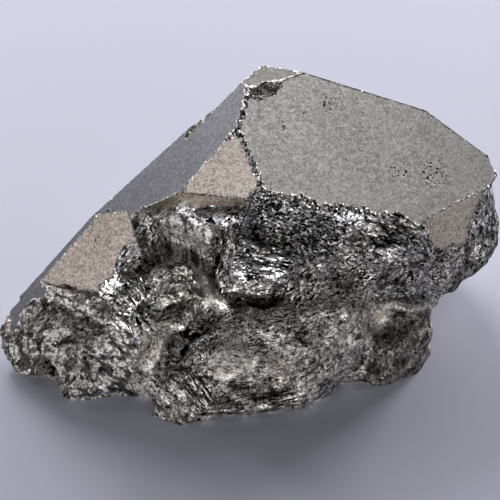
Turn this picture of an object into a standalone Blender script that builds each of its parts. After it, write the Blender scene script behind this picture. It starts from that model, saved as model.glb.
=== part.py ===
"""Pyrite cluster: blocky crystals with cut corners, grown together and broken off their bed.

Row frame in metres, +Z up. The origin is the middle of the flat that the stone rests on.
Sizes and places below are in millimetres, and MM turns them into metres.
"""

import math

import bmesh
import bpy
from mathutils import Euler, Matrix, Vector, noise

MM = 0.001

# ---------------------------------------------------------------- the large crystal's mass
# Each lump is the hull of its own corners. They overlap, and the remesh makes them one skin.
MAIN_LUMPS = {
    "main_block": [
        (-8, 4.5, 26), (-10.6, 2.6, 22), (-16.2, 6.2, 16.2), (-4, 12, 36), (0, 19, 36), (14, 19, 33), (28, 18, 26), (30.2, 10.5, 20.6),
        (29.5, 7, 19.6), (21, 2.5, 20), (12, 1, 23), (2, -1.5, 27), (-4, 2, 25), (-23, 16, 16), (-17, 8, 16),
        (-14, 6.6, 8), (-17, 5, 2), (24, 4, 10), (28, 9, 10), (-18, 18, 4), (10, 25, 18), (10, 24, 8), (24, 18, 8),
        (20, 6, -2), (-14, 4, -3), (10, 21, -3), (-12, 16, -3), (12, -2, -3), (-6, -6, -3),
    ],
    "front_apron": [
        (-13, 2, 10.5), (-4, 1, 11.5), (6, -2, 13), (13, -3, 12.5), (-12.9, -13.7, 1.0), (-8.2, -16.4, 1.2),
        (-7, -12.6, 5.5), (1, -13.4, 1.2), (7.4, -13.9, 1.2), (6, -11, 6), (12.2, -7.9, 1.2), (-10, -12, -3),
        (6, -10, -3), (11, -6, -3), (16, 4, 0), (-16, 6, 0), (12, -6, 8), (-14, -6, 6.5),
    ],
    "tan_ridge": [
        (-6.8, -5.4, 12.9), (-8.8, -7.4, 11.0), (-12.2, -9.6, 8.2), (-13.6, -12.2, 2), (-11.4, -11.8, 2.2),
        (-9.9, -9.4, 7.4), (-6.2, -5.4, 11.6), (-12, -3, 9), (-14.5, -7, 2), (-7, -2, 9),
    ],
    "bright_patch": [
        (-16.8, 1, 11.5), (-11, 1, 12.5), (-10, -3.5, 11), (-15.5, -3.8, 10), (-17, -7.6, 5), (-11, -8, 5),
        (-12, 4, 5), (-17, 4, 5),
    ],
    "bright_bulge": [
        (-2, 1, 17.5), (4, 0, 17.2), (6.2, -3.2, 15.6), (6.4, -6.2, 13.3), (-1.6, -4.6, 15.8), (-1.8, -6.2, 13.5),
        (-3, -1, 12), (3, 6, 11), (3, 8, 17),
    ],
    "right_lobe": [
        (22.6, -2.5, 1), (22.8, -3.5, 3), (22.8, -4.6, 5), (22.4, -3.5, 7.5), (20.5, -6.2, 1), (17.2, -8.4, 1),
        (13, -9.4, 1), (11, -6, 0), (14, -6.5, 8), (20, -5, 9.2), (16, 6, -3), (22, 3, -3), (22, 4, 10),
        (12, 2, 11), (20, -3, -3), (13, -6, -3),
    ],
    "right_prow": [
        (13, -3, 12), (22.6, -0.4, 6.4), (25.2, 2.0, 6.0), (27.6, 3.6, 6.2), (29.6, 5.8, 6.8), (31.4, 7.6, 7.7),
        (32.2, 8.8, 9.2), (32.3, 9.6, 11), (31.9, 9.9, 14.7), (31.5, 10.8, 17.2), (30.4, 10.8, 20),
        (23, 2, 18.5), (27.5, 5.2, 18.4), (28.2, 4.9, 12), (18, 14, 6), (29, 15, 9), (30.2, 13, 16),
    ],
    "streaked_mound": [
        (11.5, 0, 17), (17.5, -1.2, 17.6), (21.5, -0.6, 16), (23.6, -0.8, 12.6), (18.5, -2.9, 14.2),
        (13, -2.6, 15), (14, -2.4, 12.4), (22, -1.2, 11.6), (14, 5, 15), (22, 5, 14),
    ],
    "fold": [
        (16.2, -3.2, 11.8), (12.4, -6.9, 8.0), (10.3, -10.0, 4.8), (11, -9.6, 2.4), (9.4, -10, 2.2),
        (8, -7.5, 6), (10, -4, 10), (13, -1, 12), (14.4, -3.5, 8), (12, -3, 2),
    ],
}
# Hollows broken out of the mass: middle, half-widths, and turns about X, Y and Z in degrees.
MAIN_HOLLOWS = {
    "long_groove": ((-6.6, -9.4, 9.2), (1.7, 3.4, 4.6), (25, 35, 0)),
    "dark_hole": ((2.4, -6.4, 12.0), (3.2, 3.2, 1.2), (0, 0, 0)),
    "under_ledge": ((18.0, -5.4, 7.6), (3.6, 2.4, 1.7), (0, 0, 0)),
    "mound_gap": ((19.8, -2.4, 13.0), (3.4, 1.8, 0.9), (0, 14, 0)),
}
# A broken slope or a crystal face: a point on it, its outward direction, the reach of the cut
# (level, sloping), and its spin in degrees. Slopes are cut before the skin is roughened.
MAIN_SLOPES = {
    "under_top": ((7.2, 0.65, 20.4), (-0.016, -0.967, -0.254), (17, 7.2), 0),
    "recess_wall": ((-7.8, 5.3, 13.1), (-0.423, -0.899, -0.117), (12.3, 6.8), 0),
    "recess_top": ((-5.2, 3.6, 16.8), (-0.423, -0.899, -0.117), (6.8, 5.2), 0),
    "right_flank": ((29.9, 8.6, 15.7), (0.550, -0.835, 0.0), (5.4, 9.0), 0),
    "below_corner": ((25.0, 3.15, 8.6), (0.566, -0.731, 0.381), (9.0, 6.4), 0),
}
MAIN_FACES = {
    "top": ((13.0, 7.0, 23.75), (0.331, -0.465, 0.821), (70, 70), 0),
    "left_ribbon": ((-6.0, 12.5, 25.1), (-0.747, -0.110, 0.656), (50, 80), 0),
    "ribbon_edge": ((0.5, 16.5, 29.9), (-0.695, 0.457, 0.557), (16, 17), 0),
    "front_corner": ((-3.0, 5.1, 26.7), (-0.484, -0.677, 0.554), (24, 12.5), 13.4),
    "under_strip": ((-7.5, 3.5, 21.75), (-0.423, -0.899, -0.117), (17, 6), 22),
    "under_strip_left": ((-13.8, 7.25, 15.7), (-0.423, -0.899, -0.117), (6, 3), 53),
    "peak_corner": ((3.0, 13.0, 31.0), (0.02, 0.02, 1.0), (30, 30), 0),
    "back_slope": ((14.6, 15.2, 27.8), (0.223, 0.757, 0.614), (60, 50), 0),
    "back_left": ((-13.05, 13.9, 17.3), (-0.646, 0.487, 0.592), (60, 60), 0),
    "back_cube": ((9.5, 22.6, 14.0), (0.423, 0.899, 0.117), (60, 60), 0),
    "far_corner": ((25.9, 14.0, 22.9), (0.613, 0.689, 0.388), (40, 40), 0),
    "right_corner": ((23.85, 4.30, 17.19), (0.610, -0.788, 0.091), (6.4, 9.4), 0),
    "right_corner_low": ((26.48, 6.25, 16.44), (0.610, -0.788, 0.091), (4.3, 12.0), -25),
}
# Chips knocked off the crystal after it grew, in the way the hollows are given.
MAIN_CHIPS = {
    "peak_chip": ((2.2, 11.5, 31.2), (2.7, 1.2, 0.9), (0, 0, 31)),
}
# The flat under the stone that it rests on.
FOOT = ((0, 0, 0), (0, 0, -1), (90, 90), 0)

# ---------------------------------------------------------------- the left crystal's mass
LEFT_LUMPS = {
    "crystal": [
        (-20, 1, 20.5), (-15.5, 0, 21.5), (-12.8, -1.5, 19), (-13, -3.5, 15), (-17, -5.5, 9.5), (-27, -1, 10.5),
        (-28, 3, 11), (-25, 8, 10), (-17, 10, 18), (-12, 8, 17), (-28, 3, 3), (-24, 12, 2), (-13, 10, -2),
        (-24, -3, 4), (-14, -3, 5), (-22, 14, 6), (-16, 16, 12),
    ],
    "foot": [
        (-24.9, -9.9, 1.2), (-22.4, -11.8, 1.2), (-18.8, -10.4, 1.2), (-15.3, -11.4, 1.2), (-11, -11, 1.2),
        (-13, -6, 7), (-18, -5, 10), (-26, -3, 8), (-27, 6, 0), (-12, 6, 0), (-24, -7.6, 4), (-19, -8, 4),
        (-22, -9, -3), (-12, -9, -3), (-12, 4, -3), (-24, 2, -3),
    ],
    "spur": [
        (-31.8, -2.8, 2.6), (-31.4, -2.5, 4.8), (-30, 1.9, 5), (-28.6, 2, 8.2), (-30.8, -5.2, 0.4), (-28.2, -8, 0.6),
        (-25, -7.6, 4), (-24, -4, 8), (-26, 6, 0), (-22, -6, 0), (-27, -3, -2.4), (-25, -5, -2.4),
    ],
}
LEFT_HOLLOWS = {
    "crevice": ((-25.6, -7.6, 4.6), (0.6, 3.6, 5.0), (0, -12, 0)),
}
LEFT_SLOPES = {
    "left_notch": ((-16.3, -1.8, 13.6), (0.586, -0.800, -0.127), (12, 8), 0),
}
LEFT_FACES = {
    "left_front": ((-17.9, 3.1, 18.2), (-0.484, -0.677, 0.554), (30, 20), 9),
    "left_ribbon_small": ((-22.5, 4.0, 13.4), (-0.747, -0.110, 0.656), (14, 24), 0),
    "left_back": ((-18.9, 4.4, 17.5), (-0.680, 0.565, 0.460), (40, 40), 0),
    "left_top": ((-17.0, 2.9, 18.6), (0.0, 0.730, 0.680), (40, 40), 0),
    "left_inner": ((-14.3, -0.4, 19.0), (0.952, 0.2, 0.23), (20, 16), 0),
}
LEFT_CHIPS = {}

# ---------------------------------------------------------------- small crystals on the far side
# Each is a cube with its corners cut: middle, edge, turns about X, Y and Z in degrees, and corner cut.
SMALL_CRYSTALS = {
    "far_low": ((2.0, 19.5, 6.5), 12.5, (24, 12, 18), 0.30),
    "far_right": ((20.5, 17.5, 6.8), 10.0, (-14, 28, 36), 0.26),
    "far_left": ((-14.5, 14.0, 6.0), 9.5, (30, -18, 52), 0.28),
}

SKIN_VOXEL = 0.75
MAIN_TRIANGLES = 11500
LEFT_TRIANGLES = 3200

# Broken skin: size of the bumps or steps, how far they stand, and their seed.
BUMPS = (
    (8.0, 0.7, 3.0),
)
STEPS = (
    (4.6, 0.75, 17.0),
    (2.2, 0.40, 41.0),
)


def clear_scene():
    for old in list(bpy.data.objects):
        bpy.data.objects.remove(old)


def new_collection(name):
    made = bpy.data.collections.new(name)
    bpy.context.scene.collection.children.link(made)
    return made


def new_object(name, mesh, collection):
    made = bpy.data.objects.new(name, mesh)
    collection.objects.link(made)
    return made


def new_cutter(name, mesh, cutters):
    made = new_object(name, mesh, cutters)
    made.hide_render = True
    made.display_type = "WIRE"
    return made


def mesh_of(name, shape):
    mesh = bpy.data.meshes.new(name)
    shape.to_mesh(mesh)
    shape.free()
    return mesh


def turned(turns):
    return Euler([math.radians(angle) for angle in turns]).to_matrix().to_4x4()


def skin_of(name, lumps):
    """A mesh of all the lumps' hulls, each a closed shell of its own."""
    shells = bmesh.new()
    for corners in lumps.values():
        points = [shells.verts.new(Vector(corner) * MM) for corner in corners]
        bmesh.ops.convex_hull(shells, input=points, use_existing_faces=False)
    loose = [point for point in shells.verts if not point.link_faces]
    bmesh.ops.delete(shells, geom=loose, context="VERTS")
    return mesh_of(name, shells)


def apply_modifiers(made):
    bpy.context.view_layer.update()
    graph = bpy.context.evaluated_depsgraph_get()
    mesh = bpy.data.meshes.new_from_object(made.evaluated_get(graph))
    made.modifiers.clear()
    made.data = mesh


def remesh(made):
    step = made.modifiers.new("remesh", "REMESH")
    step.mode = "VOXEL"
    step.voxel_size = SKIN_VOXEL * MM
    apply_modifiers(made)


def step_height(at):
    """Height of broken steps: each cell is a flat with a tilt and a level of its own."""
    middle = noise.voronoi(at)[1][0]
    tilt = noise.cell_vector(middle * 9.0) * 2.0 - Vector((1.0, 1.0, 1.0))
    level = noise.cell(middle * 13.0) - 0.5
    return tilt.dot(at - middle) + 0.6 * level


def roughen(made):
    """Moves each point along its normal by the bumps and the steps."""
    mesh = made.data
    moves = []
    for point in mesh.vertices:
        move = 0.0
        for size, height, seed in BUMPS:
            move += height * noise.noise(point.co / (size * MM) + Vector((seed, seed, seed)))
        for size, height, seed in STEPS:
            move += height * step_height(point.co / (size * MM) + Vector((seed, seed, seed)))
        moves.append(point.normal * move * MM)
    for point, move in zip(mesh.vertices, moves):
        point.co += move


def thin_out(made, triangles):
    made.data.calc_loop_triangles()
    step = made.modifiers.new("thin", "DECIMATE")
    step.ratio = min(1.0, triangles / len(made.data.loop_triangles))
    step.use_collapse_triangulate = True
    apply_modifiers(made)


def combine(made, other, operation):
    step = made.modifiers.new(other.name, "BOOLEAN")
    step.operation = operation
    step.object = other
    step.solver = "EXACT"


def face_cutter(name, middle, outward, reach, spin, cutters):
    """A slab that lies on the face and takes off all that stands above it."""
    depth = 30.0
    block = bmesh.new()
    bmesh.ops.create_cube(block, size=1.0)
    bmesh.ops.scale(block, vec=Vector((reach[0], reach[1], depth)) * MM, verts=block.verts)
    bmesh.ops.translate(block, vec=(0, 0, depth / 2 * MM), verts=block.verts)
    cutter = new_cutter("cut_" + name, mesh_of(name, block), cutters)
    turn = Vector(outward).to_track_quat("Z", "Y").to_matrix().to_4x4() @ turned((0, 0, spin))
    cutter.matrix_world = Matrix.Translation(Vector(middle) * MM) @ turn
    return cutter


def hollow_cutter(name, middle, half_widths, turns, cutters):
    """A stretched ball that breaks a hollow out of the mass."""
    ball = bmesh.new()
    bmesh.ops.create_icosphere(ball, subdivisions=3, radius=MM)
    bmesh.ops.transform(ball, matrix=turned(turns) @ Matrix.Diagonal((*half_widths, 1.0)), verts=ball.verts)
    cutter = new_cutter("cut_" + name, mesh_of(name, ball), cutters)
    cutter.location = Vector(middle) * MM
    return cutter


def broken_mass(name, lumps, hollows, slopes, faces, chips, triangles, collection, cutters):
    """A rough mass of lumps, hollows and slopes, with its crystal faces cut flat and then chipped."""
    made = new_object(name, skin_of(name, lumps), collection)
    remesh(made)
    for hollow, place in hollows.items():
        combine(made, hollow_cutter(hollow, *place, cutters), "DIFFERENCE")
    for slope, place in slopes.items():
        combine(made, face_cutter(slope, *place, cutters), "DIFFERENCE")
    apply_modifiers(made)
    remesh(made)
    roughen(made)
    remesh(made)
    thin_out(made, triangles)
    for face, place in faces.items():
        combine(made, face_cutter(face, *place, cutters), "DIFFERENCE")
    for chip, place in chips.items():
        combine(made, hollow_cutter(chip, *place, cutters), "DIFFERENCE")
    return made


def small_crystal(name, middle, edge, turns, corner_cut, cutters):
    """A cube of the given edge whose eight corners are cut back by a share of the edge."""
    half = edge / 2 * MM
    cut = edge * corner_cut * MM
    shape = bmesh.new()
    for x in (-1, 1):
        for y in (-1, 1):
            for z in (-1, 1):
                corner = Vector((x * half, y * half, z * half))
                shape.verts.new(corner - Vector((x * cut, 0, 0)))
                shape.verts.new(corner - Vector((0, y * cut, 0)))
                shape.verts.new(corner - Vector((0, 0, z * cut)))
    bmesh.ops.convex_hull(shape, input=shape.verts[:])
    bmesh.ops.transform(shape, matrix=turned(turns), verts=shape.verts)
    made = new_cutter(name, mesh_of(name, shape), cutters)
    made.location = Vector(middle) * MM
    return made


def pyrite_material():
    made = bpy.data.materials.new("pyrite")
    made.use_nodes = True
    shader = made.node_tree.nodes["Principled BSDF"]
    shader.inputs["Base Color"].default_value = (0.36, 0.34, 0.31, 1.0)
    shader.inputs["Metallic"].default_value = 1.0
    shader.inputs["Roughness"].default_value = 0.35
    return made


def main():
    clear_scene()
    cluster = new_collection("pyrite_cluster")
    cutters = new_collection("cutters")
    left = broken_mass(
        "left_mass", LEFT_LUMPS, LEFT_HOLLOWS, LEFT_SLOPES, LEFT_FACES, LEFT_CHIPS, LEFT_TRIANGLES,
        cutters, cutters,
    )
    left.hide_render = True
    left.display_type = "WIRE"
    stone = broken_mass(
        "pyrite_cluster", MAIN_LUMPS, MAIN_HOLLOWS, MAIN_SLOPES, MAIN_FACES, MAIN_CHIPS, MAIN_TRIANGLES,
        cluster, cutters,
    )
    combine(stone, left, "UNION")
    for name, (middle, edge, turns, corner_cut) in SMALL_CRYSTALS.items():
        combine(stone, small_crystal(name, middle, edge, turns, corner_cut, cutters), "UNION")
    combine(stone, face_cutter("foot", *FOOT, cutters), "DIFFERENCE")
    stone.data.materials.clear()
    stone.data.materials.append(pyrite_material())


main()
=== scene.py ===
"""Pyrite cluster: the dressed stone, its studio and its camera. Sizes are in millimetres unless said."""

import math

import bmesh
import bpy
import numpy as np
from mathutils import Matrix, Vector
from mathutils.kdtree import KDTree


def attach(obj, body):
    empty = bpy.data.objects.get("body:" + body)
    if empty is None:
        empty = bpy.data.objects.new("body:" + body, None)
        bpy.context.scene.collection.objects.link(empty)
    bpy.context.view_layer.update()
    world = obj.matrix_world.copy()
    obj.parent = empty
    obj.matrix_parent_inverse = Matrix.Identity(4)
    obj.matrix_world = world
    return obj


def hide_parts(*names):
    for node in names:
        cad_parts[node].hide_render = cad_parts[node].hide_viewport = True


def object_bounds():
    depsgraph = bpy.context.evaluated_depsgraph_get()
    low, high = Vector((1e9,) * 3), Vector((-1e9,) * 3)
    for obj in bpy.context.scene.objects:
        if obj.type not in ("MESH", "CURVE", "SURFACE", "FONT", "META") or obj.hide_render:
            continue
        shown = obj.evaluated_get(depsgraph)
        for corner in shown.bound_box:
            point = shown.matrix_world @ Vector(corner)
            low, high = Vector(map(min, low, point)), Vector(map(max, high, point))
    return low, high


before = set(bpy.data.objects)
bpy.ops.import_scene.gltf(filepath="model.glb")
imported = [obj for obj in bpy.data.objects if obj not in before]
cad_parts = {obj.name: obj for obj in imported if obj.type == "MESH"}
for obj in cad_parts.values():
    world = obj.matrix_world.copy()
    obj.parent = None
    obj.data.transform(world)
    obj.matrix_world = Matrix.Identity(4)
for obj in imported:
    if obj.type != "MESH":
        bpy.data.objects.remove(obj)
cad_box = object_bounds()

MM = 0.001
# The camera looks along -TOWARD. A place on the side that it sees is given by how far it lies along
# ACROSS and UP from the point AIM.
TILT = math.radians(38.0)
ACROSS = np.array((1.0, 0.0, 0.0))
UP = np.array((0.0, math.sin(TILT), math.cos(TILT)))
TOWARD = np.array((0.0, -math.cos(TILT), math.sin(TILT)))
AIM = np.array((0.0, 0.0, 15.0))

# ---------------------------------------------------------------- the crystal faces
# Outward direction and tint of each face. The tints of the faces that the camera sees differ far more
# than the mineral does: they hold painted reflection and shade, lighter or darker by how much light each
# face sends to the camera. Beyond FAR_SIDE a face may also point elsewhere, and has the plain tint then.
PLAIN_TINT = (0.44, 0.42, 0.39)
FACES = {
    "top": ((0.331, -0.465, 0.821), (0.78, 0.735, 0.71)),
    "left_ribbon": ((-0.747, -0.110, 0.656), (0.14, 0.137, 0.15)),
    "ribbon_edge": ((-0.695, 0.457, 0.557), PLAIN_TINT),
    "front_corner": ((-0.484, -0.677, 0.554), (0.93, 0.78, 0.70)),
    "under_strip": ((-0.423, -0.899, -0.117), (0.96, 0.775, 0.63)),
    "peak_corner": ((0.02, 0.02, 1.0), (0.17, 0.163, 0.155)),
    "right_corner": ((0.610, -0.788, 0.091), (0.50, 0.43, 0.345)),
    "back_slope": ((0.223, 0.757, 0.614), PLAIN_TINT),
    "back_left": ((-0.646, 0.487, 0.592), PLAIN_TINT),
    "back_cube": ((0.423, 0.899, 0.117), PLAIN_TINT),
    "far_corner": ((0.613, 0.689, 0.388), PLAIN_TINT),
    "left_back": ((-0.680, 0.565, 0.460), PLAIN_TINT),
    "left_top": ((0.0, 0.730, 0.680), PLAIN_TINT),
    "left_inner": ((0.952, 0.200, 0.230), PLAIN_TINT),
}
FAR_SIDE = 10.0
# Left of LEFT_SIDE, the front corner is that of the other crystal, with painted shade that makes it a
# little darker.
LEFT_CORNER_SHADED_TINT = (0.74, 0.63, 0.57)
LEFT_SIDE = -12.0
# Two directions count as the same, or as near, above these cosines.
SAME = 0.9995
NEAR = 0.97
# A flat spot of this many square millimetres is a crystal face, if one of its triangles has this many.
FACE_AREA = 5.0
PART_AREA = 0.8
# A triangle below this area may point elsewhere, and no point lies further than this off its face.
SLIVER_AREA = 0.004
OFF_PLANE = 0.015

# Groups of small pits on the faces: place, reach and strength.
PIT_GROUPS = (
    ((22.0, 8.5, 20.2), 3.2, 1.0),
    ((18.5, 7.5, 21.3), 2.6, 0.8),
    ((9.5, 12.3, 28.1), 1.6, 1.0),
    ((6.4, 9.6, 27.9), 1.8, 0.7),
    ((4.0, 8.2, 27.9), 1.4, 0.7),
    ((-19.2, 1.6, 14.9), 1.6, 0.8),
    ((2.4, 6.4, 27.5), 2.4, 0.4),
    ((13.5, 9.0, 24.6), 6.0, 0.3),
)

# Where the edge around the top face is worn the most, and carries the most painted shade and glints:
# place, reach and strength.
WORN_EDGE = (
    ((-0.5, 9.6, 30.7), 2.0, 1.0),
    ((-1.1, 7.4, 29.7), 2.0, 1.0),
    ((-0.8, 5.3, 28.4), 2.0, 1.0),
    ((0.4, 3.0, 26.6), 2.0, 1.0),
    ((1.2, 1.2, 25.2), 2.0, 1.0),
    ((2.0, 0.0, 24.3), 2.0, 1.0),
    ((4.9, -0.2, 23.0), 2.0, 1.2),
    ((6.5, -0.2, 22.4), 2.2, 2.0),
    ((8.0, 0.0, 21.8), 2.2, 2.4),
    ((9.8, 0.3, 21.3), 2.2, 2.6),
    ((11.5, 0.6, 20.8), 2.2, 2.4),
    ((13.0, 0.9, 20.3), 2.0, 1.6),
)
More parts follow.
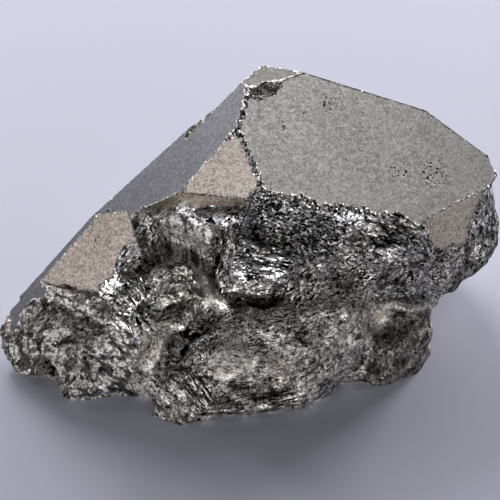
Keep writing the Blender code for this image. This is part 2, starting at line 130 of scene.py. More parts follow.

# ---------------------------------------------------------------- the broken skin
# Each zone of it: middle along ACROSS and UP, half-lengths along and across its grain, turn of the
# grain from ACROSS in degrees. Then, where it differs from the usual: how long and how big the grain
# is, depth of the ribs, height of the steps, how far the zone stands out, brightness, and how much it
# has of tan colour, of dark slits, of smooth surface, of plates in other greys, of dark joints between
# its plates and of grains that face the front lamps. The brightness also holds painted light and shade:
# the crevice, the hole and the dark grooves and gaps are painted darker as shade, and zones in pockets
# that the lamps barely reach are painted lighter. The dark slits are painted shade.
USUAL = {
    "stretch": 2.2, "size": 1.6, "ribs": 0.03, "steps": 0.12, "lift": 0, "tone_with_painted_light": 1, "tan": 0.15,
    "slit_shade": 0.35, "calm": 0.8, "patchy": 0.2, "net": 0.7, "shine": 0.12,
}
ZONES = {
    "wall": ((-8.4, 1), (4.2, 3.3), 95, {
        "stretch": 5, "steps": 0.04, "tone_with_painted_light": 1.2, "tan": 0, "slit_shade": 0.2, "calm": 0.75, "net": 0.5}),
    # Painted light: in the pocket below, the raised tones of wall_left, gap, bright_patch, blocks and flake
    # stand in for light that hardly reaches them.
    "wall_left": ((-13.2, 1.2), (2.8, 1), 70, {
        "stretch": 3, "size": 0.9, "steps": 0.25, "tone_with_painted_light": 1.2, "slit_shade": 0.5, "calm": 0.3, "shine": 0.5}),
    "wall_rim": ((-5, 4.1), (3.9, 1), -4, {
        "stretch": 1.5, "steps": 0.3, "lift": 0.3, "tone_with_painted_light": 1.5, "tan": 0, "slit_shade": 0.3, "calm": 0.3,
        "shine": 1.6}),
    "wall_right": ((-3.4, -0.6), (3.6, 1.6), 84, {
        "stretch": 6, "size": 0.8, "ribs": 0.3, "tone_with_painted_light": 0.95, "slit_shade": 0.55, "calm": 0.3}),
    "gap": ((-13.9, -2.3), (2.3, 1.1), 10, {
        "size": 1, "ribs": 0.2, "steps": 0.3, "lift": -0.3, "tone_with_painted_light": 1.45, "slit_shade": 0.7, "calm": 0.4,
        "shine": 0.8}),
    "bright_patch": ((-14.6, -6.6), (4, 2.9), -50, {
        "stretch": 5, "size": 0.7, "ribs": 0.12, "steps": 0.06, "lift": 0.9, "tone_with_painted_light": 1.5, "tan": 0,
        "slit_shade": 0.45, "calm": 0.3, "shine": 1.5}),
    "blocks": ((-8.8, -5.4), (3, 2.9), 35, {
        "stretch": 1.2, "size": 1.1, "ribs": 0.08, "steps": 0.4, "lift": 2.3, "tone_with_painted_light": 1.5, "tan": 0.55,
        "slit_shade": 0.2, "patchy": 0.4, "net": 0.8, "shine": 1.5}),
    "flake": ((-5.8, -5), (2.3, 1.2), -48, {
        "size": 1, "steps": 0.05, "lift": 1.1, "tone_with_painted_light": 1.5, "tan": 0.7, "slit_shade": 0.05, "calm": 0.9,
        "net": 0.15, "shine": 1.2}),
    # Painted shade: the top groove is darkened, as the shade in it.
    "groove_top": ((-6.2, -9.2), (2, 1.1), 35, {
        "size": 0.9, "steps": 0.3, "lift": -1.1, "tone_with_painted_light": 0.55, "slit_shade": 0.9, "calm": 0.3}),
    "groove_low": ((-9.3, -12.7), (2.4, 1.1), 62, {
        "size": 0.9, "steps": 0.3, "lift": -1, "tone_with_painted_light": 0.95, "slit_shade": 0.6, "calm": 0.3}),
    "groove_lump": ((-5.6, -11.4), (2.2, 1.6), 45, {
        "stretch": 1.2, "size": 0.45, "tone_with_painted_light": 1.45, "slit_shade": 0.5, "calm": 0.3, "shine": 0.65}),
    "ridge_top": ((-9, -7.9), (2.8, 1.2), 43, {
        "size": 0.9, "ribs": 0.05, "lift": 1.2, "tone_with_painted_light": 1.5, "tan": 0.9, "slit_shade": 0.1, "calm": 0.6,
        "net": 0.9, "shine": 1.2}),
    "ridge": ((-11.9, -12.9), (4, 1), 67, {
        "size": 0.9, "ribs": 0.04, "steps": 0.08, "lift": 0.8, "tone_with_painted_light": 1.25, "tan": 0.6, "slit_shade": 0.08,
        "net": 0.5, "shine": 0.05}),
    "apron_left": ((-9.6, -16.2), (2.6, 2.4), -40, {
        "size": 1.2, "tone_with_painted_light": 0.85, "tan": 0.35, "slit_shade": 0.4, "calm": 0.65, "patchy": 0.4,
        "shine": 0.1}),
    "slab_left": ((-2.4, -12.8), (2.8, 1.5), -15, {
        "size": 1.2, "ribs": 0.04, "steps": 0.02, "tone_with_painted_light": 1.4, "tan": 0.45, "slit_shade": 0.06, "calm": 0.85,
        "net": 0.35, "shine": 0.35}),
    "slab_right": ((4, -14.4), (3.2, 1.9), 15, {
        "size": 1.2, "ribs": 0.05, "steps": 0.08, "tone_with_painted_light": 0.85, "tan": 0.4, "slit_shade": 0.14, "net": 0.4}),
    "slots": ((-6.8, -16.6), (1.9, 1.4), -50, {
        "stretch": 7, "size": 0.5, "ribs": 0.3, "tone_with_painted_light": 1.3, "tan": 0.3, "slit_shade": 0.5, "calm": 0.3,
        "shine": 0.35}),
    "folds": ((0.4, -17.8), (3.6, 1.8), 8, {
        "stretch": 5, "size": 0.8, "ribs": 0.25, "steps": 0.05, "tone_with_painted_light": 0.65, "slit_shade": 0.3,
        "calm": 0.5}),
    "left_low": ((-16.5, -13.7), (3.8, 3.4), -35, {
        "size": 1.7, "tone_with_painted_light": 0.9, "tan": 0, "calm": 0.9, "patchy": 0.3, "net": 0.9, "shine": 0.1}),
    # Painted shade: the crevice is painted near black, as the shade in it.
    "crevice": ((-25.7, -13.8), (3.6, 1), -66, {
        "steps": 0.1, "lift": -3.2, "tone_with_painted_light": 0.1, "slit_shade": 1, "net": 0, "shine": 0}),
    "left_top": ((-20.2, -7.6), (3, 2.6), -20, {
        "size": 1.3, "tone_with_painted_light": 0.95, "tan": 0.4, "slit_shade": 0.3, "calm": 0.7, "patchy": 0.4}),
    "spur": ((-26, -12), (4.5, 4), 35, {
        "stretch": 1.8, "size": 1.8, "steps": 0.3, "tone_with_painted_light": 1.3, "tan": 0.35, "slit_shade": 0.3, "calm": 0.95,
        "patchy": 0.6, "net": 0.9, "shine": 0.05}),
    "hollow": ((6.5, 3), (7, 3.6), -12, {
        "stretch": 1.8, "size": 0.6, "ribs": 0.25, "steps": 0.4, "tone_with_painted_light": 0.95, "tan": 0, "slit_shade": 0.75,
        "calm": 0.1, "shine": 0.15}),
    "top_rim": ((10.6, 4.3), (4.6, 1.3), -20, {
        "size": 0.5, "steps": 0.25, "lift": 0.4, "tone_with_painted_light": 1.5, "tan": 0, "slit_shade": 0.25, "calm": 0.2,
        "shine": 1.2}),
    "bulge": ((1.3, -1.8), (3.4, 2.3), -3, {
        "stretch": 5, "size": 0.7, "ribs": 0.3, "steps": 0.1, "lift": 0.5, "tone_with_painted_light": 1.5, "tan": 0,
        "calm": 0.2, "shine": 0.95}),
    "bulge_lip": ((1.4, -4.2), (3.2, 0.8), 8, {
        "stretch": 4, "size": 0.9, "ribs": 0.1, "steps": 0.05, "lift": 0.7, "tone_with_painted_light": 0.8, "tan": 0.2,
        "slit_shade": 0.15, "calm": 0.4, "shine": 0.5}),
    # Painted shade: the hole is painted near black, as the shade in it.
    "hole": ((2.4, -6.1), (2.5, 1.25), 5, {
        "size": 1, "lift": -1.8, "tone_with_painted_light": 0.15, "slit_shade": 0.8, "calm": 0.4, "net": 0.2}),
    "beside_hole": ((6.7, -5), (3, 2.4), 40, {"size": 0.8, "tone_with_painted_light": 0.75, "slit_shade": 0.6, "calm": 0.25}),
    "middle": ((11, -3.6), (4.5, 3.4), 15, {
        "stretch": 1.6, "size": 0.6, "tone_with_painted_light": 0.95, "slit_shade": 0.45, "calm": 0.3, "shine": 0.1}),
    "middle_low": ((8.5, -8.6), (5, 3), 25, {"size": 0.8, "tone_with_painted_light": 1.15, "tan": 0.2, "calm": 0.6}),
    "slope": ((1.8, -9.4), (5.5, 2.4), 12, {
        "stretch": 3, "size": 0.55, "tone_with_painted_light": 1.15, "tan": 0.3, "slit_shade": 0.45, "calm": 0.5}),
    "slope_low": ((8.6, -13.8), (3, 2.6), 35, {
        "size": 0.9, "tone_with_painted_light": 1.2, "tan": 0.35, "slit_shade": 0.25, "calm": 0.65}),
    "mound": ((17, 1), (5, 2.8), -24, {
        "stretch": 5, "size": 0.7, "ribs": 0.3, "steps": 0.1, "lift": 0.3, "tone_with_painted_light": 1.1, "tan": 0,
        "slit_shade": 0.4, "calm": 0.35, "shine": 0.25}),
    "mound_patch": ((13.2, 0.6), (1.8, 1.6), -20, {
        "size": 1, "ribs": 0.06, "tone_with_painted_light": 0.4, "slit_shade": 0.2, "calm": 0.6, "net": 0.3}),
    # Painted shade: the gap in the mound is darkened, as the shade in it.
    "mound_gap": ((20, -2.2), (3.4, 1.1), 20, {
        "size": 0.9, "ribs": 0.2, "steps": 0.3, "lift": -0.8, "tone_with_painted_light": 0.5, "slit_shade": 0.7, "calm": 0.3}),
    "under_corner": ((24.3, -2.6), (3.4, 1.5), 20, {
        "stretch": 1.5, "size": 0.5, "ribs": 0.06, "tone_with_painted_light": 1.3, "slit_shade": 0.25, "calm": 0.5}),
    "band": ((18.6, -5.2), (3.6, 1), 0, {
        "stretch": 8, "size": 0.5, "ribs": 0.18, "steps": 0, "tone_with_painted_light": 1.3, "tan": 0, "slit_shade": 0.4,
        "calm": 0.4}),
    "ledge": ((18.7, -6.7), (2.8, 0.5), -2, {
        "ribs": 0.02, "steps": 0, "lift": 0.5, "slit_shade": 0.05, "calm": 0.9, "patchy": 0, "net": 0.1,
        "shine": 0.2}),
    "facet": ((15.6, -8.2), (2.4, 1.4), 60, {
        "ribs": 0.02, "steps": 0.03, "tone_with_painted_light": 0.8, "tan": 0.6, "slit_shade": 0.05, "calm": 0.9, "patchy": 0,
        "net": 0.2}),
    "fold_band": ((12.6, -8.6), (4.6, 1.2), 62, {
        "stretch": 3, "ribs": 0.08, "steps": 0.05, "tone_with_painted_light": 1.05, "tan": 0.25, "slit_shade": 0.2, "calm": 0.6,
        "net": 0.5}),
    "fold_low": ((13.6, -12.6), (3, 1.3), 60, {"ribs": 0.06, "steps": 0.05, "slit_shade": 0.2, "calm": 0.6}),
    "lobe": ((18.2, -12.4), (4.4, 4), 50, {
        "stretch": 1.3, "size": 1.8, "ribs": 0.04, "steps": 0.3, "tone_with_painted_light": 0.35, "tan": 0.35, "slit_shade": 0.3,
        "calm": 0.7, "patchy": 0.45, "net": 0.5}),
    "tip": ((9.4, -16.8), (1.5, 1.2), 20, {"tone_with_painted_light": 0.9, "tan": 0.1, "calm": 0.5}),
    "right_wall": ((29.3, 4), (8, 1.4), 82, {"size": 0.8, "tone_with_painted_light": 0.85, "tan": 0, "calm": 0.4}),
    "right_low": ((27.6, -2.6), (3, 2.2), 60, {
        "size": 1, "tone_with_painted_light": 0.4, "tan": 0.2, "calm": 0.5, "patchy": 0.4}),
}
# What the material of the broken skin reads of each zone.
PAINTED = ("tone_with_painted_light", "tan", "slit_shade", "calm", "patchy", "net", "shine")
# The broken skin on the side that the camera doesn't see, with its grain turned this far.
FAR_ZONE = {**USUAL, "size": 0.9, "steps": 0.3, "patchy": 0.3}
FAR_TURN = 10
# How far the zones' borders wander, and how sharply one zone turns into the next.
WANDER = 0.7
BORDER = 7.0
# A point that leans away from the camera by this much belongs to the far zone, which counts as this far
# from all others, in half-lengths of a zone.
HIDDEN = -0.12
APART = 3.0
# Each zone's grain starts this far on from the last one's, so that no two look the same.
GRAIN_SHIFT = 7.3

# Longest edges of the dressed mesh: on broken skin that the camera sees, on the rest of the broken skin
# and on crystal faces.
NEAR_EDGE = 0.28
FAR_EDGE = 0.65
FACE_EDGE = 0.9
# The camera doesn't see skin that leans away from it by this much.
UNSEEN = -0.15
# Edges are split in up to this many rounds, while they are over their limit by this factor.
SPLITS = 7
OVER = 1.25
# Rounds of smoothing of the broken skin, and how far its border with a crystal face wanders.
SMOOTHING = 5
TORN = 0.448
# What lies below this height is the flat foot.
FOOT = 0.02
# Broken steps in two sizes: size, height as a share of the zone's own, and seed of their noise.
STEPS = ((2.6, 0.65, 11), (1.15, 0.42, 23))
# Cracks between the ribs: how wide, and how deep as a share of the zone's ribs. Their material is
# painted dark, as the shade in them, where the ribs are at least this deep.
CRACK_WIDTH = 0.20
CRACK_DEPTH = 1.1
CRACKED = 0.2
# The relief starts at this distance from a crystal face and grows over the next. The skin sinks by
# SUNK, and has done so at SUNK_AT.
RELIEF_FROM = 0.1
RELIEF_OVER = 0.7
SUNK = 0.12
SUNK_AT = 0.5


# ---------------------------------------------------------------- noise
def cell_random(cells, seed):
    """A repeatable random number from 0 to 1 for each whole-number cell."""
    cells = cells.astype(np.uint64)
    mixed = cells[..., 0] * np.uint64(374761393) + cells[..., 1] * np.uint64(668265263)
    mixed = mixed + cells[..., 2] * np.uint64(2147483647) + np.uint64(seed * 1274126177)
    mixed = (mixed ^ (mixed >> np.uint64(13))) * np.uint64(1274126177)
    mixed = mixed ^ (mixed >> np.uint64(16))
    return (mixed & np.uint64(0xFFFFFF)).astype(float) / 0x1000000


def smooth_noise(points, size, seed):
    """Soft noise from -1 to 1, with lumps of about the given size."""
    at = points / size + 1000.0
    whole = np.floor(at).astype(np.int64)
    part = at - whole
    part = part * part * (3 - 2 * part)
    total = np.zeros(len(points))
    for corner in np.ndindex(2, 2, 2):
        corner = np.array(corner)
        weight = np.prod(np.where(corner == 1, part, 1 - part), axis=1)
        total += weight * cell_random(whole + corner, seed)
    return total * 2 - 1


def broken_steps(points, size, seed):
    """Flat tilted cells of about the given size, as a height from about -1 to 1."""
    at = points / size + 1000.0
    whole = np.floor(at).astype(np.int64)
    nearest = np.full(len(points), 9.0)
    height = np.zeros(len(points))
    for step in np.ndindex(3, 3, 3):
        cell = whole + np.array(step) - 1
        middle = cell + np.stack([cell_random(cell, seed + k) for k in range(3)], axis=1)
        away = at - middle
        distance = np.einsum("ij,ij->i", away, away)
        tilt = np.stack([cell_random(cell, seed + 5 + k) for k in range(3)], axis=1) * 2 - 1
        own = cell_random(cell, seed + 9)
        closer = distance < nearest
        nearest = np.where(closer, distance, nearest)
        height = np.where(closer, np.einsum("ij,ij->i", tilt, away) + (own - 0.5) * 0.9, height)
    return height


# ---------------------------------------------------------------- the dressed mesh
def face_tint_with_painted_light(normal, middle):
    """The tint of a crystal face, with its painted light and shade, or None where a flat spot is only
    broken skin.
    """
    for name, (direction, tint_with_painted_light) in FACES.items():
        if normal @ (np.array(direction) / np.linalg.norm(direction)) > SAME:
            on_left = name == "front_corner" and middle[0] < LEFT_SIDE
            return LEFT_CORNER_SHADED_TINT if on_left else tint_with_painted_light
    return PLAIN_TINT if middle[1] > FAR_SIDE else None


def find_faces(shape):
    """Numbers the flat crystal faces from 1 in the layer "facet". Broken skin and the foot stay 0."""
    facet = shape.faces.layers.int.new("facet")
    spots = np.array([point.co for point in shape.verts]) / MM
    corners = np.array([[point.index for point in face.verts] for face in shape.faces])
    normals = np.array([face.normal for face in shape.faces])
    areas = np.array([face.calc_area() for face in shape.faces]) / MM**2
    free = np.ones(len(corners), bool)
    planes = []
    for index in np.argsort(-areas):
        if areas[index] < PART_AREA:
            break
        if not free[index]:
            continue
        normal = normals[index]
        middle = spots[corners[index]].mean(axis=0)
        off = np.abs(spots @ normal - normal @ middle)
        along = (normals @ normal > NEAR) | (areas < SLIVER_AREA)
        inside = free & along & (off[corners].max(axis=1) < OFF_PLANE)
        tint_with_painted_light = face_tint_with_painted_light(normal, middle)
        if areas[inside].sum() < FACE_AREA or normal[2] < -SAME or tint_with_painted_light is None:
            continue
        free &= ~inside
        planes.append((normal, tint_with_painted_light))
        for number in np.flatnonzero(inside):
            shape.faces[number][facet] = len(planes)
    return facet, planes


def edge_limit(edge, facet):
    """How long an edge may be: short on the broken skin that the camera sees."""
    skin = [face for face in edge.link_faces if face[facet] == 0]
    if not skin:
        return FACE_EDGE
    seen = any(face.normal.dot(Vector(TOWARD)) > UNSEEN for face in skin)
    return NEAR_EDGE if seen else FAR_EDGE


def split_long_edges(shape, facet):
    """Splits edges until the broken skin is fine and the crystal faces are even."""
    for _ in range(SPLITS):
        long_edges = [
            edge for edge in shape.edges if edge.calc_length() > OVER * MM * edge_limit(edge, facet)
        ]
        if not long_edges:
            break
        bmesh.ops.subdivide_edges(shape, edges=long_edges, cuts=1)
        bmesh.ops.triangulate(shape, faces=[face for face in shape.faces if len(face.verts) > 3])
        shape.verts.index_update()


def smooth_skin(spots, pairs, loose):
    """Rounds off the broken skin. Only the loose points move."""
    count = np.bincount(pairs.ravel(), minlength=len(spots))
    for _ in range(SMOOTHING):
        total = np.zeros_like(spots)
        for axis in range(3):
            total[:, axis] += np.bincount(pairs[:, 0], spots[pairs[:, 1], axis], len(spots))
            total[:, axis] += np.bincount(pairs[:, 1], spots[pairs[:, 0], axis], len(spots))
        middle = total / np.maximum(count, 1)[:, None]
        spots[loose] += 0.5 * (middle - spots)[loose]
    return spots


def zone_shares(spots, normals):
    """The number of each point's zone, and how much each zone has of it. Their borders wander."""
    wander = np.stack([smooth_noise(spots, 1.6, 40 + k) for k in range(3)], axis=1)
    placed = spots + wander * WANDER - AIM
    across = placed @ ACROSS
    up = placed @ UP
    distances = []
    for (x, y), (half_along, half_over), turn, _ in ZONES.values():
        turn = math.radians(turn)
        along = (across - x) * math.cos(turn) + (up - y) * math.sin(turn)
        over = (up - y) * math.cos(turn) - (across - x) * math.sin(turn)
        distances.append(np.hypot(along / half_along, over / half_over))
    hidden = normals @ TOWARD < HIDDEN
    distances = np.array(distances) + APART * hidden
    distances = np.vstack([distances, np.where(hidden, 0.0, APART)])
    nearest = distances.min(axis=0)
    shares = np.exp(-BORDER * (distances - nearest))
    return distances.argmin(axis=0), shares / shares.sum(axis=0)


def zone_values(shares, key):
    """One value of the zones at each point, mixed by how much each zone has of it."""
    values = [{**USUAL, **zone[3]}[key] for zone in ZONES.values()] + [FAR_ZONE[key]]
    return np.array(values, float) @ shares


def grain_of(spots, number):
    """Points in each zone's own grain: long along its direction, and in units of its grain."""
    grain = np.zeros_like(spots)
    zones = [(zone[2], {**USUAL, **zone[3]}) for zone in ZONES.values()] + [(FAR_TURN, FAR_ZONE)]
    for index, (turn, zone) in enumerate(zones):
        here = number == index
        turn = math.radians(turn)
        along = ACROSS * math.cos(turn) + UP * math.sin(turn)
        over = UP * math.cos(turn) - ACROSS * math.sin(turn)
        turned = spots[here] @ np.stack([along, over, TOWARD], axis=1)
        turned[:, 0] /= zone["stretch"]
        grain[here] = turned / zone["size"] + GRAIN_SHIFT * index
    return grain


def relief(spots, grain, shares, from_rim):
    """Height of the steps and cracks of the broken skin, and how far each point is in a crack."""
    ribs = zone_values(shares, "ribs")
    height = np.zeros(len(spots))
    for size, tall, seed in STEPS:
        height += tall * zone_values(shares, "steps") * broken_steps(spots, size, seed)
    wavy = smooth_noise(grain, 1.0, 31) + 0.35 * smooth_noise(grain, 0.45, 37)
    crack = np.exp(-((wavy / CRACK_WIDTH) ** 2))
    height += ribs * (0.5 * wavy - CRACK_DEPTH * crack) + zone_values(shares, "lift")
    fade = np.clip((from_rim - RELIEF_FROM) / RELIEF_OVER, 0, 1)
    height = height * fade - SUNK * np.clip(from_rim / SUNK_AT, 0, 1)
    return height, crack * np.clip(ribs / CRACKED, 0, 1.2) * fade


def distance_to(spots, chosen):
    """How far each point is from the nearest of the chosen ones."""
    tree = KDTree(len(chosen))
    for index in chosen:
        tree.insert(Vector(spots[index]), int(index))
    tree.balance()
    return np.array([tree.find(Vector(spot))[2] for spot in spots])


def strongest(spots, places, least, fall):
    """How strong the nearest of some soft round spots is at each point. It ends at fall times its reach."""
    strength = np.full(len(spots), least)
    for middle, reach, full in places:
        distance = np.linalg.norm(spots - np.array(middle), axis=1)
        strength = np.maximum(strength, full * np.clip(fall - distance / reach, 0, 1))
    return strength


def fine_shape(cad):
    """The solid as a fine mesh, with the layer that numbers its crystal faces, and their planes."""
    shape = bmesh.new()
    shape.from_mesh(cad.data)
    bmesh.ops.remove_doubles(shape, verts=shape.verts, dist=0.000001)
    bmesh.ops.triangulate(shape, faces=shape.faces)
    shape.verts.index_update()
    shape.faces.ensure_lookup_table()
    facet, planes = find_faces(shape)
    inner = []
    for edge in shape.edges:
        numbers = [face[facet] for face in edge.link_faces]
        if len(numbers) == 2 and numbers[0] == numbers[1] > 0:
            inner.append(edge)
    bmesh.ops.dissolve_limit(shape, angle_limit=0.01, verts=[], edges=inner)
    bmesh.ops.triangulate(shape, faces=shape.faces)
    split_long_edges(shape, facet)
    shape.verts.index_update()
    shape.verts.ensure_lookup_table()
    shape.edges.ensure_lookup_table()
    return shape, facet, planes


def put_points(shape, spots):
    """Moves the mesh's points to these places in millimetres."""
    for point, spot in zip(shape.verts, spots):
        point.co = Vector(spot) * MM


def roughen(shape, facet, planes):
    """Roughens the broken skin. Returns every point's place and grain, and what the zones say there."""
    spots = np.array([point.co for point in shape.verts]) / MM
    pairs = np.array([[point.index for point in edge.verts] for edge in shape.edges])
    touching = [{face[facet] for face in point.link_faces} for point in shape.verts]
    above_foot = spots[:, 2] > FOOT
    loose = np.array([numbers == {0} for numbers in touching]) & above_foot
    torn = np.array([0 in numbers and len(numbers) == 2 for numbers in touching]) & above_foot
    flat = np.array([0 not in numbers for numbers in touching])
    spots = smooth_skin(spots, pairs, loose)
    put_points(shape, spots)
    shape.normal_update()

    normals = np.array([point.normal for point in shape.verts])
    from_rim = distance_to(spots, np.flatnonzero(~loose & ~flat))
    number, shares = zone_shares(spots, normals)
    grain = grain_of(spots, number)
    height, crack = relief(spots, grain, shares, from_rim)
    spots[loose] += (normals * height[:, None])[loose]

    jitter = np.stack([smooth_noise(spots, 0.9, 60 + k) for k in range(3)], axis=1) * TORN
    for index in np.flatnonzero(torn):
        normal = planes[max(touching[index]) - 1][0]
        spots[index] += jitter[index] - normal * (normal @ jitter[index])
    spots = np.clip(spots, np.array(cad_box[0]) / MM, np.array(cad_box[1]) / MM)
    put_points(shape, spots)

    painted = {key: zone_values(shares, key) for key in PAINTED}
    return spots, grain, {**painted, "crack": crack}


def dressed_mesh(cad, name):
    """The solid's mesh with flat crystal faces and rough broken skin, and what its materials read."""
    shape, facet, planes = fine_shape(cad)
    spots, grain, painted = roughen(shape, facet, planes)
    creases = set()
    for edge in shape.edges:
        numbers = {face[facet] for face in edge.link_faces}
        edge.smooth = len(numbers) == 1
        if len(numbers) == 2:
            creases.update(point.index for point in edge.verts)
    for face in shape.faces:
        face.smooth = face[facet] == 0
        face.material_index = 0 if face[facet] == 0 else 1
    # The tints hold each crystal face's painted reflection and shade.
    tints_with_painted_light = [planes[face[facet] - 1][1] if face[facet] > 0 else PLAIN_TINT for face in shape.faces]
    painted["rim"] = distance_to(spots, sorted(creases))
    painted["wear"] = strongest(spots, WORN_EDGE, least=0.0, fall=1.5)
    painted["pitting"] = strongest(spots, PIT_GROUPS, least=0.16, fall=1.25)

    mesh = bpy.data.meshes.new(name)
    shape.to_mesh(mesh)
    shape.free()
    mesh.attributes.remove(mesh.attributes["facet"])
    grains = mesh.attributes.new("grain", "FLOAT_VECTOR", "POINT")
    grains.data.foreach_set("vector", grain.astype(np.float32).ravel())
    for label, values in painted.items():
        added = mesh.attributes.new(label, "FLOAT", "POINT")
        added.data.foreach_set("value", values.astype(np.float32))
    # The tint layer carries the painted reflection and shade of each crystal face.
    colours = np.column_stack([np.array(tints_with_painted_light), np.ones(len(tints_with_painted_light))]).repeat(3, axis=0)
    added = mesh.attributes.new("tint_with_painted_light", "FLOAT_COLOR", "CORNER")
    added.data.foreach_set("color", colours.astype(np.float32).ravel())
    print("dressed:", len(mesh.polygons), "triangles,", len(planes), "crystal faces")
    return mesh


# ---------------------------------------------------------------- materials
# Broken skin: its darker grey for low spots and lighter grey for high ones, as painted shade and light
# on its relief, its tan, and the most that it ever throws back.
LOW_SHADED_GREY = (0.52, 0.50, 0.49, 1)
HIGH_LIT_GREY = (0.90, 0.875, 0.85, 1)
TAN = (0.76, 0.64, 0.53, 1)
BRIGHTEST = (0.96, 0.95, 0.94)
# Crystal faces: the black and pale grains of a worn edge, painted shade and glints on real wear, and
# the pits' painted shade.
WORN_SHADE = (0.04, 0.04, 0.04, 1)
WORN_GLINT = (0.75, 0.73, 0.70, 1)
PIT_SHADE = (0.015, 0.014, 0.013, 1)
# The pale paper under the stone is a little uneven.
PAPER_LOW = (0.70, 0.71, 0.86, 1)
PAPER_HIGH = (0.72, 0.73, 0.88, 1)
# How many plates and chips fit in one unit of the grain, and how many small grains in a millimetre.
PLATES = 0.85
CHIPS = 2.3
SPECKS = 5.0
FACE_SPECKS = 5.2
# Strokes of the hatching in one unit of the grain: along it, across it and into the stone.
STROKES = (1.6, 4.6, 1.4)
# Grains facing this way glint towards the camera's side.
GLINT = (-0.10, -0.92, 0.375)


class Tree:
    """A short way to write a node tree."""

    def __init__(self, tree):
        self.tree = tree

    def node(self, kind, inputs=None, **settings):
        made = self.tree.nodes.new("ShaderNode" + kind)
        for key, value in settings.items():
            setattr(made, key, value)
        for key, value in (inputs or {}).items():
            self.put(made.inputs[key], value)
        return made

    def put(self, socket, value):
        if isinstance(value, bpy.types.NodeSocket):
            self.tree.links.new(value, socket)
        elif isinstance(value, bpy.types.Node):
            self.tree.links.new(value.outputs[0], socket)
        else:
            socket.default_value = value

    def math(self, operation, first, second=0.0, third=0.0):
        return self.node("Math", {0: first, 1: second, 2: third}, operation=operation).outputs[0]

    def times(self, first, second):
        return self.math("MULTIPLY", first, second)

    def line(self, value, slope, start):
        """The start, and the value times the slope on top."""
        return self.math("MULTIPLY_ADD", value, slope, start)

    def vary(self, value, amount, usual=1.0):
        """The usual, more where the value is over a half and less where it is under."""
        return self.line(self.math("SUBTRACT", value, 0.5), amount, usual)

    def ramp(self, value, low, high, start=0.0, end=1.0):
        limits = {"From Min": low, "From Max": high, "To Min": start, "To Max": end}
        made = self.node("MapRange", {"Value": value, **limits}, interpolation_type="SMOOTHSTEP")
        return made.outputs[0]

    def vector(self, operation, first, second=(0, 0, 0), third=(0, 0, 0)):
        made = self.node("VectorMath", {0: first, 1: second, 2: third}, operation=operation)
        return made.outputs[0]

    def scale(self, vector, factor):
        return self.node("VectorMath", {0: vector, "Scale": factor}, operation="SCALE").outputs[0]

    def mix(self, share, first, second):
        made = self.node("Mix", data_type="RGBA")
        self.put(made.inputs[0], share)
        self.put(made.inputs[6], first)
        self.put(made.inputs[7], second)
        return made.outputs[2]

    def noise(self, vector, scale, detail=2.0, roughness=0.5, output=0):
        inputs = {"Vector": vector, "Scale": scale, "Detail": detail, "Roughness": roughness}
        return self.node("TexNoise", inputs).outputs[output]

    def cells(self, vector, scale, output, feature="F1"):
        made = self.node("TexVoronoi", {"Vector": vector, "Scale": scale}, feature=feature)
        return made.outputs[output]

    def attribute(self, name, output="Fac"):
        made = self.node("Attribute", attribute_name=name, attribute_type="GEOMETRY")
        return made.outputs[output]

    def place(self):
        """The place on the stone in millimetres."""
        return self.scale(self.node("TexCoord").outputs["Object"], 1 / MM)


def new_material(name):
    made = bpy.data.materials.new(name)
    made.use_nodes = True
    tree = Tree(made.node_tree)
    return made, tree, made.node_tree.nodes["Principled BSDF"]


def grain_tilt_group():
    """Tilts the surface as flat grains, each with its own random tilt and its own random grey."""
    group = bpy.data.node_groups.new("grain_tilt", "ShaderNodeTree")
    group.interface.new_socket("Vector", in_out="INPUT", socket_type="NodeSocketVector")
    group.interface.new_socket("Scale", in_out="INPUT", socket_type="NodeSocketFloat")
    group.interface.new_socket("Tilt", in_out="INPUT", socket_type="NodeSocketFloat")
    group.interface.new_socket("Normal", in_out="INPUT", socket_type="NodeSocketVector")
    group.interface.new_socket("Normal", in_out="OUTPUT", socket_type="NodeSocketVector")
    group.interface.new_socket("Grain", in_out="OUTPUT", socket_type="NodeSocketFloat")
    tree = Tree(group)
    given = group.nodes.new("NodeGroupInput").outputs
    out = group.nodes.new("NodeGroupOutput")
    random = tree.cells(given["Vector"], given["Scale"], "Color")
    tilt = tree.scale(tree.vector("SUBTRACT", random, (0.5, 0.5, 0.5)), given["Tilt"])
    tree.put(out.inputs["Normal"], tree.vector("NORMALIZE", tree.vector("ADD", tilt, given["Normal"])))
    tree.put(out.inputs["Grain"], tree.node("SeparateColor", {0: random}).outputs[0])
    return group


def lean(tree, group, vector, scale, tilt, normal):
    """Places the grain_tilt group. Returns the leaning normal, and each grain's grey from 0 to 1."""
    made = tree.tree.nodes.new("ShaderNodeGroup")
    made.node_tree = group
    for key, value in {"Vector": vector, "Scale": scale, "Tilt": tilt, "Normal": normal}.items():
        tree.put(made.inputs[key], value)
    return made.outputs["Normal"], made.outputs["Grain"]


def joints(tree, grain, scale, width, gaps):
    """Dark joints between plates of this scale, broken off where gaps is low."""
    edge = tree.cells(grain, scale, 0, "DISTANCE_TO_EDGE")
    return tree.times(tree.ramp(edge, *width), gaps)


def shade_and_sheen_strokes(tree, grain, place, rough):
    """Short dark and light strokes along the grain, as a factor: painted shade and painted sheen. Rough
    skin has more of them.
    """
    strokes = tree.node("Mapping", {"Vector": grain, "Scale": STROKES}).outputs[0]
    strokes = tree.node("SeparateColor", {0: tree.cells(strokes, 1.0, "Color")}).outputs[0]
    stroke_shade = tree.times(tree.ramp(strokes, 0.34, 0.26), -0.85)
    strokes = tree.line(tree.ramp(strokes, 0.60, 0.85), 0.8, stroke_shade)
    drawn = tree.ramp(tree.noise(place, 0.55), 0.42, 0.56, 0.2, 1.0)
    return tree.line(strokes, tree.times(drawn, tree.line(rough, 1.1, 0.45)), 1.0)


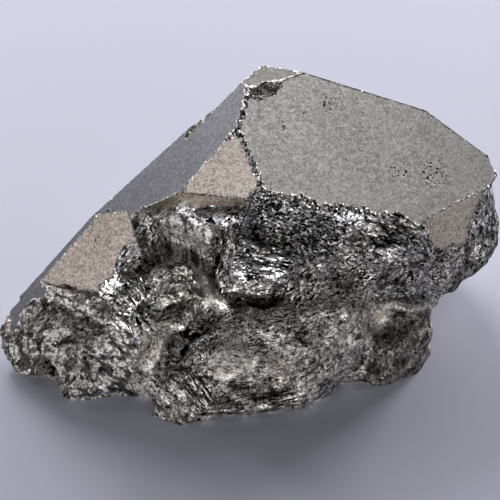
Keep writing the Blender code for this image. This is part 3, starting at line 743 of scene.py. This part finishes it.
def fracture_material(grain_tilt):
    made, tree, shader = new_material("pyrite_fracture")
    place = tree.place()
    tone_with_painted_light, tan, slit_shade, calm, patchy, net, shine = [tree.attribute(key) for key in PAINTED]
    rough = tree.math("SUBTRACT", 1.0, calm)

    # Plates of two sizes lie along the grain, with broken dark joints between them.
    straight = tree.attribute("grain", "Vector")
    sway = tree.vector("SUBTRACT", tree.noise(straight, 1.1, 3.0, 0.6, "Color"), (0.5, 0.5, 0.5))
    grain = tree.vector("MULTIPLY_ADD", sway, (1.3, 1.3, 1.3), straight)
    gaps = tree.ramp(tree.noise(place, 0.7), 0.38, 0.50)
    small_gaps = tree.ramp(tree.noise(place, 1.9), 0.46, 0.54)
    joint = joints(tree, grain, PLATES, (0.16, 0.08), gaps)
    small_joint = joints(tree, grain, CHIPS, (0.24, 0.14), small_gaps)
    joint = tree.math("MAXIMUM", joint, tree.times(small_joint, 0.8))

    # Slits open where a fine noise is lowest, and more of them in darker zones. They are painted near black
    # as the shade in them, and so are the cracks. The dark joints between plates are added to them.
    streak = tree.noise(grain, 2.0, 1.0)
    level = tree.line(streak, 0.6, tree.times(tree.noise(place, 2.6, 1.0), 0.4))
    deep = tree.line(slit_shade, 0.17, 0.34)
    slit_shade_and_joints = tree.ramp(tree.math("SUBTRACT", deep, level), -0.006, 0.010)
    slit_shade_and_joints = tree.math("MAXIMUM", slit_shade_and_joints, tree.times(joint, net))
    # The cracks are painted dark too, as their shade.
    slit_shade_and_joints = tree.math("MAXIMUM", slit_shade_and_joints, tree.times(tree.attribute("crack"), 0.85))

    # Every plate leans its own way, and so does every small grain. Some grains face the lamps.
    height = tree.line(slit_shade_and_joints, -0.5, level)
    strength = tree.line(rough, 0.5, 0.04)
    normal = tree.node("Bump", {"Height": height, "Distance": 0.0004, "Strength": strength}).outputs[0]
    normal, plate = lean(tree, grain_tilt, grain, PLATES, tree.line(rough, 0.42, 0.08), normal)
    normal, chip = lean(tree, grain_tilt, grain, CHIPS, tree.line(rough, 0.50, 0.06), normal)
    normal, speck = lean(tree, grain_tilt, place, SPECKS, tree.line(rough, 0.50, 0.12), normal)
    glint = tree.line(tree.ramp(speck, 0.80, 0.86), 1.6, 0.8)
    facing = tree.vector("ADD", tree.scale(GLINT, tree.times(glint, shine)), normal)
    tree.put(shader.inputs["Normal"], tree.vector("NORMALIZE", facing))

    # Grey, darker on low spots and lighter on high ones as painted shade and light, warmer where the zone
    # is tan, darker in the slits' painted shade and in dark plates, and changed by the painted strokes.
    light = tree.mix(tree.ramp(level, 0.40, 0.60), LOW_SHADED_GREY, HIGH_LIT_GREY)
    light = tree.mix(tree.times(tan, tree.ramp(chip, 0.0, 1.0, 0.5, 1.0)), light, TAN)
    patch = tree.math("SUBTRACT", tree.line(chip, 0.8, plate), 0.9)
    patch = tree.math("MAXIMUM", tree.line(patch, tree.times(patchy, 1.2), 1.0), 0.12)
    grit = tree.math("MAXIMUM", tree.vary(speck, tree.line(rough, 1.4, 0.9)), 0.05)
    # The tone holds each zone's brightness together with its painted light and shade.
    kept = tree.times(tree.times(tone_with_painted_light, patch), tree.line(slit_shade_and_joints, -0.95, 1.0))
    kept = tree.times(kept, tree.times(grit, shade_and_sheen_strokes(tree, grain, place, rough)))
    tree.put(shader.inputs["Base Color"], tree.vector("MINIMUM", tree.scale(light, kept), BRIGHTEST))

    shader.inputs["Metallic"].default_value = 1.0
    matt = tree.line(calm, 0.25, tree.line(speck, -0.12, 0.60))
    tree.put(shader.inputs["Roughness"], tree.line(tree.math("MINIMUM", shine, 1.0), -0.24, matt))
    return made


def face_material(grain_tilt):
    made, tree, shader = new_material("pyrite_face")
    place = tree.place()
    cloud = tree.noise(place, 0.12, 3.0, 0.6)
    mottle = tree.noise(place, 1.3, 2.0, 0.6)
    fine = tree.noise(place, 3.0, 1.0)
    brush = {"Vector": place, "Rotation": (0.3, 0.2, 0.5), "Scale": (1, 6, 6)}
    streak = tree.noise(tree.node("Mapping", brush).outputs[0], 0.35, 2.0, 0.6)

    # Small pits in groups, painted near black inside as their shade, and edges worn to broken grains whose
    # black and pale colours are painted shade and glints.
    size = tree.line(tree.attribute("pitting"), 0.42, 0.04)
    shaded_pit = tree.ramp(tree.math("SUBTRACT", size, tree.cells(place, 2.2, "Distance")), 0.0, 0.05)
    shaded_pit = tree.times(shaded_pit, tree.ramp(tree.noise(place, 0.9, 1.0), 0.40, 0.48))
    spread = tree.line(tree.attribute("wear"), -0.7, -0.8)
    wear_shade_and_glint = tree.line(tree.noise(place, 1.5), spread, tree.math("ADD", tree.attribute("rim"), 0.2))
    wear_shade_and_glint = tree.ramp(wear_shade_and_glint, 0.0, -0.16)

    height = tree.line(shaded_pit, -0.3, tree.times(mottle, 0.12))
    height = tree.math("ADD", height, tree.times(tree.times(fine, wear_shade_and_glint), 0.8))
    normal = tree.node("Bump", {"Height": height, "Strength": 0.5, "Distance": 0.0002}).outputs[0]
    normal, grit = lean(tree, grain_tilt, place, FACE_SPECKS, tree.line(wear_shade_and_glint, 0.8, 0.03), normal)
    tree.put(shader.inputs["Normal"], normal)

    # The face's tint, which holds painted reflection and shade, mottled, clouded and faintly brushed.
    shade = tree.vary(grit, 0.8)
    for pattern in (mottle, cloud, streak):
        shade = tree.vary(pattern, 0.5, shade)
    colour = tree.scale(tree.attribute("tint_with_painted_light", "Color"), tree.math("MAXIMUM", shade, 0.1))
    # The worn edge gets black and pale grains, painted shade and glints; the pits get their painted shade.
    colour = tree.mix(wear_shade_and_glint, colour, tree.mix(tree.ramp(fine, 0.44, 0.56), WORN_SHADE, WORN_GLINT))
    tree.put(shader.inputs["Base Color"], tree.mix(shaded_pit, colour, PIT_SHADE))

    shader.inputs["Metallic"].default_value = 1.0
    polish = tree.ramp(mottle, 0.3, 0.7, 0.29, 0.38)
    tree.put(shader.inputs["Roughness"], tree.line(tree.math("SUBTRACT", 1.0, wear_shade_and_glint), 0.03, polish))
    return made


def floor_material():
    made, tree, shader = new_material("paper_floor")
    place = tree.node("TexCoord").outputs["Object"]
    cloud = tree.noise(place, 9.0, 3.0)
    tree.put(shader.inputs["Base Color"], tree.mix(cloud, PAPER_LOW, PAPER_HIGH))
    shader.inputs["Roughness"].default_value = 0.9
    return made


# ---------------------------------------------------------------- studio and camera
# The room around the lamps is nearly dark.
WORLD = (0.95, 0.97, 1.0, 1)
WORLD_STRENGTH = 0.02
LAMP_AWAY = 0.8
ROUND = (0.36, 0.36)
STRIP = (0.40, 0.03)
LOW_BOX = (0.36, 0.12)
# Name: compass angle of the lamp in degrees (0 behind the stone, 90 right, 180 at the camera's side,
# 270 left), angle above the floor, width and height in metres, watts.
LAMPS = {
    "back_right": (36, 6, ROUND, 8.7),
    "back_left": (342, 24, ROUND, 4.7),
    "back": (18, 24, ROUND, 1.5),
    "back_low": (324, 6, ROUND, 0.75),
    "left_high": (306, 24, ROUND, 0.7),
    "left_low": (252, 6, ROUND, 0.2),
    "left_card": (234, 24, ROUND, 0.33),
    "front_left": (216, 6, ROUND, 0.3),
    "front": (180, 3.5, LOW_BOX, 0.65),
    "front_strip": (180, 1.1, STRIP, 2.2),
    "top_card": (78, 60, ROUND, 0.31),
}
# The camera's distance and how wide it sees there, in metres, and its sensor in millimetres.
VIEW_DISTANCE = 0.35
VIEW_WIDTH = 0.5 / 8.2
SENSOR = 36.0


def add_floor():
    bpy.ops.mesh.primitive_grid_add(x_subdivisions=8, y_subdivisions=8, size=3.0, location=(0, 0, 0))
    floor = bpy.context.object
    floor.name = "floor"
    floor.data.materials.append(floor_material())
    return floor


def add_world():
    world = bpy.data.worlds.new("studio")
    bpy.context.scene.world = world
    world.use_nodes = True
    background = world.node_tree.nodes["Background"]
    background.inputs[0].default_value = WORLD
    background.inputs[1].default_value = WORLD_STRENGTH


def add_lamp(name, compass, above, size, watts):
    """A soft lamp aimed at the stone from this side."""
    compass = math.radians(compass)
    above = math.radians(above)
    level = math.cos(above)
    away = Vector((math.sin(compass) * level, math.cos(compass) * level, math.sin(above)))
    lamp = bpy.data.lights.new(name, "AREA")
    lamp.shape = "ELLIPSE" if size == ROUND else "RECTANGLE"
    lamp.size, lamp.size_y = size
    lamp.energy = watts
    made = bpy.data.objects.new(name, lamp)
    bpy.context.scene.collection.objects.link(made)
    made.location = away * LAMP_AWAY + Vector(AIM) * MM
    made.rotation_mode = "QUATERNION"
    made.rotation_quaternion = away.to_track_quat("Z", "Y")


def add_camera():
    """The camera, with a long lens."""
    camera = bpy.data.objects.new("camera", bpy.data.cameras.new("camera"))
    bpy.context.scene.collection.objects.link(camera)
    camera.location = Vector(AIM) * MM + Vector(TOWARD) * VIEW_DISTANCE
    camera.rotation_mode = "QUATERNION"
    camera.rotation_quaternion = Vector(-TOWARD).to_track_quat("-Z", "Y")
    camera.data.sensor_width = SENSOR
    camera.data.lens = SENSOR * VIEW_DISTANCE / VIEW_WIDTH
    camera.data.clip_start = 0.01
    camera.data.clip_end = 20.0
    camera.data.dof.use_dof = False
    return camera


# ---------------------------------------------------------------- the scene
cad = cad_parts["pyrite_cluster"]
stone = bpy.data.objects.new("pyrite_stone", dressed_mesh(cad, "pyrite_stone"))
bpy.context.scene.collection.objects.link(stone)
grain_tilt = grain_tilt_group()
stone.data.materials.append(fracture_material(grain_tilt))
stone.data.materials.append(face_material(grain_tilt))
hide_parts("pyrite_cluster")
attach(stone, "root")

floor = add_floor()
add_world()
for name, lamp in LAMPS.items():
    add_lamp(name, *lamp)
bpy.context.scene.camera = add_camera()
bpy.context.scene.view_settings.view_transform = "Standard"
